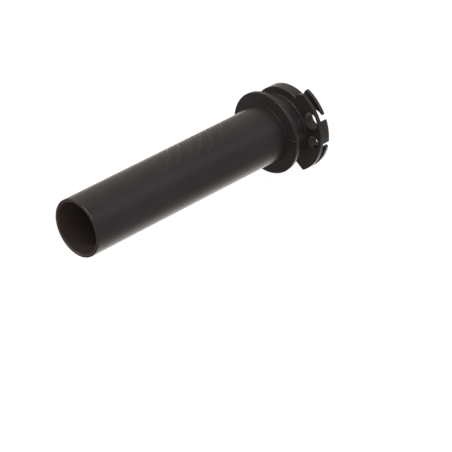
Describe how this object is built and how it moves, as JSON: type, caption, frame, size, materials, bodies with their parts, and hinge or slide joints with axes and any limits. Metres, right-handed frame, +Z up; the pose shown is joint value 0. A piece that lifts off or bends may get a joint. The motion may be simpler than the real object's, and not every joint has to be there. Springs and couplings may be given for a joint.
{
  "type": "motorcycle throttle grip tube",
  "caption": "Moulded throttle grip tube for a 22.2 mm handlebar, with a flange, a drum and a keyed slide-on cable guide plate.",
  "frame": {"origin": "on the bore's axis, at the open end of the tube", "axes": "+X along the tube from its open end to the cable guide plate, +Z up, and the raised sector of the plate towards -Y"},
  "size_m": [0.1256, 0.0406, 0.0372],
  "materials": {
    "tube_plastic": "satin black moulded plastic",
    "guide_plastic": "satin black moulded plastic"
  },
  "bodies": {
    "tube": {"grip_tube": "tube_plastic"},
    "guide": {"cable_guide_plate": "guide_plastic"}
  },
  "joints": [
    {"name": "guide_slide", "type": "slide", "parent": "tube", "child": "guide", "axis": [1, 0, 0], "range_m": [0, 0.012]}
  ]
}
